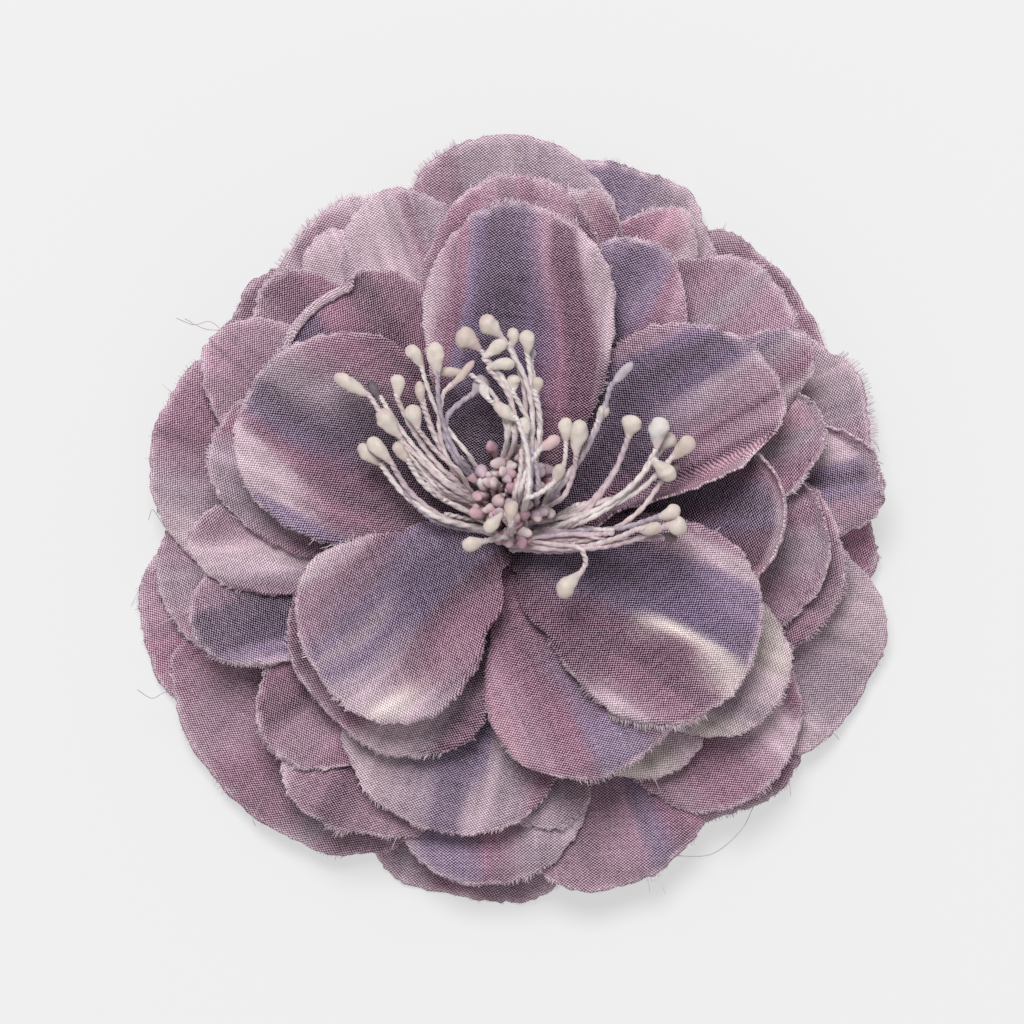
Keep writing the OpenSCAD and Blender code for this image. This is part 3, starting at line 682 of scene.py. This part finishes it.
def lifted(petal, s, a, x, y):
    """Height of the middle of a petal's cloth above the felt, with its folds and its turned-down rim."""
    px, py = turned(x, y, petal.turn)
    r = math.hypot(px, py)
    z = stacked(petal.level, r) - drooped(r) + waved(px, py) + cupped(px, py, petal.cup)
    z += rumpled(px, py)
    z += CURL_H * petal.curl * ease((s - 0.6) / 0.4) * cos_d(a) ** 2
    z -= ROOT_DIP * (1 - ease((r - 0.5) / 4.5)) if petal.inner else 0
    rim = max((s - 0.93) / 0.07, (abs(a) - 82) / 8 * ease(s / 0.5), 0)
    seed = petal.turn * 0.11 + petal.whorl
    crease = CREASE_H * speckle(x * 0.06, y * 0.22, seed)
    ripple = RIPPLE_H * speckle(x * 0.16, y * 0.30, seed + 7)
    z += CLOTH_T * CLOTH_MID + ease(s / 0.5) * (crease + ripple) - RIM_DROP * rim ** 2
    return max(z, LOWEST + CLEAR_OF_FLOOR)


def laid_out(petal, s, a):
    """Where a place on a petal lies in its flat plan, with the uneven cut of its edge."""
    x, y = petal.own(s, a)
    for name, reach, left, right in FULLER:
        if name == petal.name:
            x = petal.root + (x - petal.root) * (1 + (reach - 1) * ease(s))
            y *= 1 + ((left if y > 0 else right) - 1) * ease(s / 0.5)
    y *= 1 + (0.6 * (1 - ease(s / 0.4)) if petal.whorl == len(WHORLS) else 0)
    seed = petal.turn * 0.53 + petal.whorl * 3.3
    ragged = 0.4 * speckle(x * 1.6, y * 1.6, seed) + 0.3 * speckle(x * 0.45, y * 0.45, seed)
    ragged += (1.7 - 0.18 * petal.whorl) * speckle(x * 0.12, y * 0.12, seed)
    ragged *= max(ease((s - 0.88) / 0.12), ease((abs(a) - 60) / 30)) * ease(s / 0.5)
    outward = Vector((cos_d(a), sin_d(a) * 1.2)).normalized() * ragged
    return x + outward.x, y + outward.y


def roll_there(petal, row, s, a):
    """How one rolled rim reaches a place on its petal.

    Gives the roll's inner edge and the rim there, how far the place is past the edge, the roll's
    share, and how far along the roll the place is.
    """
    _, edge, start, end, width, _, _ = row
    if edge == "tip":
        inner = 1 - width / petal.length
        share = ease((a - start) / 24) * ease((end - a) / 24)
        return (inner, a), (1, a), (s - inner) / (1 - inner), share, (a - start) / (end - start)
    side = 90 if edge == "left" else -90
    sine = max(0.0, 1 - width / max(width, petal.half(side) * petal.widening(s)))
    inner = math.degrees(math.asin(sine))
    share = ease((s - start) / 0.14) * ease((end - s) / 0.14)
    past = (sin_d(a) * math.copysign(1, side) - sine) / (1 - sine)
    return (s, math.copysign(inner, side)), (s, side), past, share, (s - start) / (end - start)


def rolled(petal, s, a):
    """A place on a petal, in its own frame, with its rolled rims, and the angle it has turned over by."""
    x, y = laid_out(petal, s, a)
    z = lifted(petal, s, a, x, y)
    for row in ROLLS:
        if row[0] != petal.name:
            continue
        inner, rim, past, share, _ = roll_there(petal, row, s, a)
        bend = math.radians(row[5]) * share
        if bend < 0.05 or past <= 0:
            continue
        edge = Vector(laid_out(petal, *inner))
        way = Vector(laid_out(petal, *rim)) - edge
        tight = way.length / bend
        over = past * bend
        x, y = edge + way.normalized() * tight * math.sin(over)
        return x, y, lifted(petal, *inner, *edge) + tight * (1 - math.cos(over)), over
    return x, y, z, 0.0


def finished(bm, name, finish):
    """Puts a bmesh, in millimetres round the flower's middle, into an object at the origin."""
    for vert in bm.verts:
        vert.co.z = max(vert.co.z, LOWEST + LEAST_CLEAR)
    bmesh.ops.transform(bm, matrix=Matrix.Translation(MIDDLE) @ Matrix.Scale(MM, 4), verts=bm.verts)
    mesh = bpy.data.meshes.new(name)
    bm.to_mesh(mesh)
    bm.free()
    mesh.materials.append(finish)
    mesh.shade_smooth()
    piece = bpy.data.objects.new(name, mesh)
    bpy.context.scene.collection.objects.link(piece)
    return piece


def new_tinted():
    bm = bmesh.new()
    return bm, bm.verts.layers.float_color.new("dye")


def cut_petal(petal):
    """One petal of thin cloth. Its grid's u goes across it and its v from root to tip."""
    bm, dye = new_tinted()
    weave = bm.loops.layers.uv.new("weave")
    bmesh.ops.create_grid(bm, x_segments=ACROSS, y_segments=ALONG, size=1)
    spots = {}
    for vert in bm.verts:
        a = 90 * vert.co.x
        s = 1 - (1 - petal.inner) * (0.5 - vert.co.y / 2) ** 1.35
        x, y = laid_out(petal, s, a)
        spots[vert] = (s, a, x, y)
        vert.co = (x, y, 0)
        vert[dye] = (*dyed(petal, s, a, x, y), 1)
    petal.flat_area = sum(face.calc_area() for face in bm.faces)
    for face in bm.faces:
        for loop in face.loops:
            _, _, x, y = spots[loop.vert]
            loop[weave].uv = turned(x, y, petal.weave)
    for vert, (s, a, _, _) in spots.items():
        x, y, z, _ = rolled(petal, s, a)
        vert.co = (*turned(x, y, petal.turn), z)
    if sum(face.normal.z for face in bm.faces) < 0 or next(iter(bm.faces)).normal.z < 0:
        bmesh.ops.reverse_faces(bm, faces=bm.faces)
    bm.normal_update()
    piece = finished(bm, petal.name + "_cloth", CLOTH_FINISH)
    wall = piece.modifiers.new("wall", "SOLIDIFY")
    wall.thickness = CLOTH * MM
    wall.offset = 0
    return piece


def fibre(bm, middle, along, length, radii, sides=3):
    """One stiff thread, thinner at its tip, in a bmesh of many."""
    matrix = Matrix.Translation(middle) @ along.to_track_quat("Z", "Y").to_matrix().to_4x4()
    return bmesh.ops.create_cone(bm, segments=sides, radius1=radii[0], radius2=radii[1],
                                 depth=length, cap_ends=True, matrix=matrix)["verts"]


def lint(petal, draw, bm, dye):
    """Short ends of thread that lie on the rim at all angles."""
    for k in range(LINT_COUNT):
        s, a = (1, draw.uniform(-88, 88)) if k % 3 else (draw.uniform(0.45, 1), draw.choice((-89, 89)))
        # Two draws that nothing reads: every later one, and so the fray, depends on their order
        draw.random()
        draw.random()
        along = Vector((draw.uniform(-1, 1), draw.uniform(-1, 1), draw.uniform(-0.05, 0.15))).normalized()
        x, y, z, _ = rolled(petal, s * 0.99, a)
        spot = Vector((*turned(x, y, petal.turn), z + CLOTH * 0.62))
        for vert in fibre(bm, spot, along, draw.uniform(0.25, 0.8), LINT_R):
            vert[dye] = (*(Vector(DYES["w"]) * draw.uniform(0.9, 1.6)), 1)


def fray(petal):
    """Threads that stick out of the cut edge, each along the warp or weft."""
    draw = random.Random(petal.name)
    bm, dye = new_tinted()
    lint(petal, draw, bm, dye)
    spots = [(1 - 0.62 * (k / SIDE_THREADS), side) for side in (90, -90) for k in range(SIDE_THREADS)]
    spots += [(1, -89 + k * 178 / TIP_THREADS) for k in range(TIP_THREADS + 1)]
    for s, a in spots:
        s = min(1, s + draw.uniform(-0.006, 0.006))
        a = max(-90, min(90, a + draw.uniform(-0.7, 0.7)))
        x, y = laid_out(petal, s, a)
        inner_x, inner_y = laid_out(petal, s * 0.97, a * 0.97)
        outward = Vector((x - inner_x, y - inner_y)).normalized()
        ways = [Vector(turned(*way, -petal.weave)) for way in ((1, 0), (-1, 0), (0, 1), (0, -1))]
        way = max(ways, key=lambda w: w.dot(outward))
        way = Vector(turned(way.x, way.y, draw.gauss(0, 14)))
        clump = speckle(x * 0.22, y * 0.22, petal.turn)
        reach = (0.20 + 0.9 * max(0.0, clump)) * draw.uniform(0.7, 1.3)
        if draw.random() < 0.012:
            reach *= draw.uniform(2.0, 5.0)
        x, y, z, over = rolled(petal, s, a)
        if over > 3.0 and draw.random() < 0.5:
            continue
        way = way * math.cos(over)
        lean = draw.uniform(-0.2, 0.3) + math.sin(over)
        along = Vector((*turned(way.x, way.y, petal.turn), lean)).normalized()
        foot = turned(x - way.x * FRAY_FOOT, y - way.y * FRAY_FOOT, petal.turn)
        start = Vector((*foot, z + CLOTH * 0.35))
        length = reach + FRAY_FOOT
        tone = dyed(petal, s, a, x, y).lerp(FRAYED, draw.uniform(0.25, 1.0)) * 1.3
        for vert in fibre(bm, start + along * length / 2, along, length, FRAY_R):
            vert[dye] = (*tone, 1)
    return finished(bm, petal.name + "_fray", FRAY_FINISH)


def fringe(petal, start, end, reach):
    """A comb of short parallel threads along part of a petal's rim."""
    draw = random.Random(petal.name)
    bm, dye = new_tinted()
    step = 0.34 / (max(petal.left, petal.right) + petal.length * petal.blunt * 0.5)
    for k in range(int(math.radians(end - start) / step)):
        a = start + math.degrees(step) * (k + draw.uniform(-0.2, 0.2))
        x, y = laid_out(petal, 1, a)
        outward = turned(abs(cos_d(a)) + 0.25, sin_d(a), petal.turn + draw.uniform(-4, 4))
        along = Vector((*outward, draw.uniform(-0.15, 0.1))).normalized()
        foot = Vector((*turned(x, y, petal.turn), lifted(petal, 1, a, x, y)))
        length = reach * draw.uniform(0.7, 1.2)
        made = fibre(bm, foot + along * (length / 2 - 0.2), along, length, FRINGE_R, sides=4)
        tone = dyed(petal, 0.97, a, x, y).lerp(FRAYED, draw.uniform(0.2, 0.9)) * draw.uniform(0.9, 1.4)
        for vert in made:
            vert[dye] = (*tone, 1)
    return finished(bm, petal.name + "_fringe", FRAY_FINISH)


def along_route(points, t):
    """A point on a smooth curve through the points, t from 0 to 1, and the way the curve goes there."""
    at = t * (len(points) - 1)
    k = min(int(at), len(points) - 2)
    f = at - k
    p1, p2 = points[k], points[k + 1]
    p0 = points[k - 1] if k else p1 * 2 - p2
    p3 = points[k + 2] if k + 2 < len(points) else p2 * 2 - p1
    straight = p2 - p0
    squared = 2 * p0 - 5 * p1 + 4 * p2 - p3
    cubed = 3 * p1 - p0 - 3 * p2 + p3
    here = 0.5 * (2 * p1 + straight * f + squared * f * f + cubed * f ** 3)
    way = 0.5 * (straight + 2 * squared * f + 3 * cubed * f * f)
    return here, way.normalized()


def swept(bm, layer, points, radius, tone, sides, rings, lobes=0.0, twist=0.0, flat=1.0, lump=0.0):
    """A grid rolled into a tube along a route. lobes makes it a two-ply thread, twist is in turns."""
    made = bmesh.ops.create_grid(bm, x_segments=sides, y_segments=rings, size=1)["verts"]
    for vert in made:
        t = (vert.co.y + 1) / 2
        angle = math.pi * (vert.co.x + 1)
        here, way = along_route(points, t)
        across = way.cross(Vector((0, 0, 1)))
        across = across.normalized() if across.length > 0.05 else Vector((1, 0, 0))
        up = across.cross(way).normalized()
        turn = angle + twist * 2 * math.pi * t
        size = radius(t) * (1 - lobes + lobes * abs(math.cos(angle)) * 1.5)
        round_about = Vector((math.cos(angle), math.sin(angle), t * 2)) * 0.8
        size *= 1 + lump * noise.noise(here * 0.9 + round_about)
        vert.co = here + (across * math.cos(turn) + up * math.sin(turn) * flat) * size
        vert[layer] = (*(tone(t) if callable(tone) else tone), 1)
    bmesh.ops.remove_doubles(bm, verts=made, dist=0.0005)


def closed(bm):
    """Caps the ends of the tubes and turns their faces outwards."""
    open_edges = [edge for edge in bm.edges if edge.is_boundary]
    if open_edges:
        bmesh.ops.holes_fill(bm, edges=open_edges)
    bmesh.ops.recalc_face_normals(bm, faces=bm.faces)


def stamen_route(row, draw):
    """One thread's route from the stem through its bunch to its pip's foot, the pip's tip, its width."""
    bunch, tip_x, tip_y, foot_x, foot_y, width, rise, bow, _ = row
    fork_x, fork_y, fork_rise, root_x, root_y = BUNCHES[bunch]
    root = Vector((root_x, root_y)) * STAMEN_REACH
    start = Vector((fork_x, fork_y)) * STAMEN_REACH
    foot = Vector((foot_x, foot_y)) * STAMEN_REACH
    way = foot - start
    side = Vector((-way.y, way.x))
    out = (start - root).normalized()
    aside = Vector((-out.y, out.x))
    offset = aside * draw.uniform(-1.7, 1.7) + out * draw.uniform(-0.8, 0.8)
    pile = draw.uniform(0, 1.3)
    root = root + aside * draw.uniform(-1.0, 1.0) + out * draw.uniform(-0.6, 0.4)
    points = [Vector((root.x * 0.7, root.y * 0.7, STEM_TOP - 3.5)), Vector((root.x, root.y, STEM_TOP - 0.6))]
    near = root.lerp(start, 0.5) + offset * 0.7
    points.append(Vector((near.x, near.y, STEM_TOP + 0.35 * STAMEN_RISE * fork_rise + pile * 0.7)))
    for t in (0.0, 0.3, 0.6, 0.85):
        p = start + way * t + side * bow * sin_d(180 * t) + offset * (1 - t)
        lift = fork_rise * (1 - t) + rise * t
        points.append(Vector((p.x, p.y, lying(p.x, p.y, lift) + pile * (1 - t))))
    height = lying(foot.x, foot.y, rise)
    points.append(Vector((foot.x, foot.y, height)))
    return points, Vector((tip_x * STAMEN_REACH, tip_y * STAMEN_REACH, height)), width


def pip_radius(t, width):
    if t < 0.62:
        return PIP_D * width * (0.14 + 0.36 * ease(t / 0.62) ** 0.8)
    return max(0.02, 0.5 * PIP_D * width * math.sqrt(max(0.0, 1 - ((t - 0.62) / 0.38) ** 2)))


def bud_radius(t, size):
    return 0.60 * size * math.sin(math.pi * t ** 1.25) ** 0.45 if 0 < t < 1 else 0.02


def pip_tone(tone, stain):
    """A pip's colour from its foot, where the thread shows through, to its stained tip."""
    def at(t):
        shade = PIP_FOOT.lerp(Vector(tone), 0.35 + 0.65 * ease(t / 0.4))
        return shade.lerp(PIP_STAIN, stain * ease((t - 0.6) / 0.4))
    return at


def make_stamens():
    """The threads with their pips, and more threads under them that end among the others."""
    draw = random.Random(44)
    threads, thread_dye = new_tinted()
    pips, pip_dye = new_tinted()
    for row in STAMENS:
        points, tip, width = stamen_route(row, draw)
        tone = THREAD_TONES[draw.choice((0, 0, 1, 1, 2, 3, 4))]
        length = sum((b - a).length for a, b in zip(points, points[1:]))
        ply = THREAD_D * draw.uniform(0.42, 0.54)
        foot = points[-1]
        swept(threads, thread_dye, points + [foot.lerp(tip, 0.3)], lambda t: ply, tone,
              10, int(length * 3.2), lobes=0.28, twist=length / 3.2)
        away = (tip - foot).normalized()
        bend = Vector((-away.y, away.x, 0)) * draw.uniform(-0.35, 0.35)
        bend += Vector((0, 0, draw.uniform(-0.2, 0.3)))
        stained = pip_tone(PIP_TONES[row[8]], draw.uniform(-0.2, 0.45))
        swept(pips, pip_dye, [foot - away * 0.35, foot.lerp(tip, 0.5) + bend, tip],
              lambda t: pip_radius(t, width), stained, 20, 26, flat=draw.uniform(0.55, 0.95), lump=0.24)
    for k in range(UNDER_COUNT):
        points, _, _ = stamen_route(STAMENS[draw.choice(UNDER_ROWS)], draw)
        tone = THREAD_TONES[draw.choice((0, 2, 2, 3, 4))]
        reach = 4 if k % 2 else 6
        for point in points:
            point.z -= 1.0 if k % 2 else 0.7
        swept(threads, thread_dye, points[:reach], lambda t: THREAD_D * 0.45, tone,
              8, 12 * reach, lobes=0.30, twist=reach * 1.2)
    closed(threads)
    closed(pips)
    return finished(threads, "stamen_threads", THREAD_FINISH), finished(pips, "stamen_pips", PIP_FINISH)


def make_buds():
    """The knot of short curled buds in the middle of the threads."""
    draw = random.Random(36)
    buds, bud_dye = new_tinted()
    stalks, stalk_dye = new_tinted()
    for k in range(BUD_COUNT):
        out = math.sqrt((k + 0.5) / BUD_COUNT)
        a = k * BUD_TURN + draw.uniform(-14, 14)
        spread = Vector((BUDS_HALF[0] * cos_d(a), BUDS_HALF[1] * sin_d(a))) * out
        height = STEM_TOP + STAMEN_RISE * 0.18 + 2.2 * (1 - out * out) + draw.uniform(-0.6, 0.6)
        foot = (BUDS_MIDDLE + spread * 0.92).to_3d()
        foot.z = height
        lean_x = spread.x * 0.12 + draw.uniform(-0.6, 0.6)
        lean_y = spread.y * 0.12 + draw.uniform(-0.6, 0.6)
        tilt = Vector((lean_x, lean_y, 1.0)).normalized()
        size = draw.uniform(0.95, 1.4)
        top = foot + tilt * 2.6 * size
        curl = Vector((draw.uniform(-1, 1), draw.uniform(-1, 1), 0.2)) * 0.75
        tone = Vector(draw.choice(BUD_TONES))
        swept(buds, bud_dye, [foot, foot.lerp(top, 0.5) + curl, top], lambda t: bud_radius(t, size),
              tone, 10, 14, flat=draw.uniform(0.7, 1.0), lump=0.35)
        root = ((BUDS_MIDDLE + spread) * 0.5).to_3d()
        root.z = STEM_TOP - 2.5
        shade = Vector(THREAD_TONES[draw.choice((0, 1, 2))]).lerp(STALK_ROSE, draw.uniform(0.2, 0.7))
        halfway = root.lerp(foot, 0.5) + Vector((0, 0, 0.4))
        swept(stalks, stalk_dye, [root, halfway, foot + tilt * 0.3], lambda t: 0.36, shade,
              8, 24, lobes=0.3, twist=3.0)
    closed(buds)
    closed(stalks)
    return finished(buds, "stamen_buds", BUD_FINISH), finished(stalks, "bud_stalks", THREAD_FINISH)


def make_loose_threads():
    bm, dye = new_tinted()
    for route in LOOSE:
        swept(bm, dye, [Vector(point) for point in route], lambda t: 0.05, LOOSE_TONE, 5, 40)
    closed(bm)
    return finished(bm, "loose_threads", FRAY_FINISH)


def make_stem():
    """The bound stem of thread under the bunch, down to the felt."""
    stem, stem_dye = new_tinted()
    draw = random.Random(3)
    # One strand in the middle, six round it and twelve round those
    for k in range(19):
        ring = 0 if k == 0 else (1 if k < 7 else 2)
        a = k * 60 if ring == 1 else k * 30
        foot = Vector((cos_d(a), sin_d(a), 0)) * ring * STEM_R * 0.36
        tone = THREAD_TONES[draw.randrange(4)]
        points = [foot + Vector((0, 0, z)) for z in (0.2, STEM_TOP * 0.3, STEM_TOP * 0.6)]
        swept(stem, stem_dye, points, lambda t: STEM_R * 0.2, tone, 8, 40, lobes=0.25, twist=5.0)
    closed(stem)
    return finished(stem, "bound_stem", THREAD_FINISH)


# The camera, the light and the floor come before the pieces

scene = bpy.context.scene
scene.view_settings.view_transform = "Standard"
camera = bpy.data.objects.new("camera", bpy.data.cameras.new("camera"))
scene.collection.objects.link(camera)
aside_x, aside_y = CAMERA_ASIDE
camera.location = (MIDDLE.x + aside_x * MM, MIDDLE.y + aside_y * MM, CAMERA_AWAY * MM)
camera.data.sensor_width = 36
camera.data.lens = camera.data.sensor_width * (CAMERA_AWAY - VIEW_H) / PHOTO_WIDTH
camera.data.clip_start = 0.05
camera.data.clip_end = 20
scene.camera = camera

toward = Vector((-0.12, 0.50, 1.00))
window = bpy.data.lights.new("window", "AREA")
window.shape = "DISK"
window.size = 1.3
window.energy = 80.0
lamp = bpy.data.objects.new("window", window)
scene.collection.objects.link(lamp)
lamp.location = toward.normalized() * 3.0
lamp.rotation_euler = toward.to_track_quat("Z", "Y").to_euler()

world = bpy.data.worlds.new("studio")
world.use_nodes = True
world.node_tree.nodes["Background"].inputs["Color"].default_value = (1.0, 1.0, 1.0, 1)
world.node_tree.nodes["Background"].inputs["Strength"].default_value = 0.44
scene.world = world

pale_floor = Finish("floor", Base_Color=(0.26, 0.26, 0.26, 1), Roughness=0.9, Specular_IOR_Level=0.1,
                    Emission_Color=(1, 1, 1, 1), Emission_Strength=0.559)
floor_bm = bmesh.new()
bmesh.ops.create_grid(floor_bm, x_segments=1, y_segments=1, size=3.0)
floor_mesh = bpy.data.meshes.new("floor")
floor_bm.to_mesh(floor_mesh)
floor_bm.free()
floor_mesh.materials.append(pale_floor.material)
floor = bpy.data.objects.new("floor", floor_mesh)
scene.collection.objects.link(floor)

for node, finish in (("felt_back", felted()), ("pin_back", plated())):
    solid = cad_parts[node]
    solid.data.materials.clear()
    solid.data.materials.append(finish)

for petal in petals:
    cloth = cut_petal(petal)
    threads = fray(petal)
    combs = [fringe(petal, *row[1:]) for row in FRINGES if row[0] == petal.name]
    for piece in (cloth, threads, *combs):
        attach(piece, "root")
    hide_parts(petal.name)
    width = (petal.left + petal.right) * MM
    length = petal.length * MM
    area = min(petal.flat_area * MM * MM, width * length)

stamen_threads, stamen_pips = make_stamens()
stamen_buds, bud_stalks = make_buds()
bound_stem = make_stem()
for piece, slot in ((stamen_threads, "stamen_thread"), (stamen_pips, "pip"), (stamen_buds, "bud"),
                    (bud_stalks, "stamen_thread"), (bound_stem, "stamen_thread")):
    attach(piece, "root")
    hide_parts("stamens")

loose_threads = make_loose_threads()
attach(loose_threads, "root")
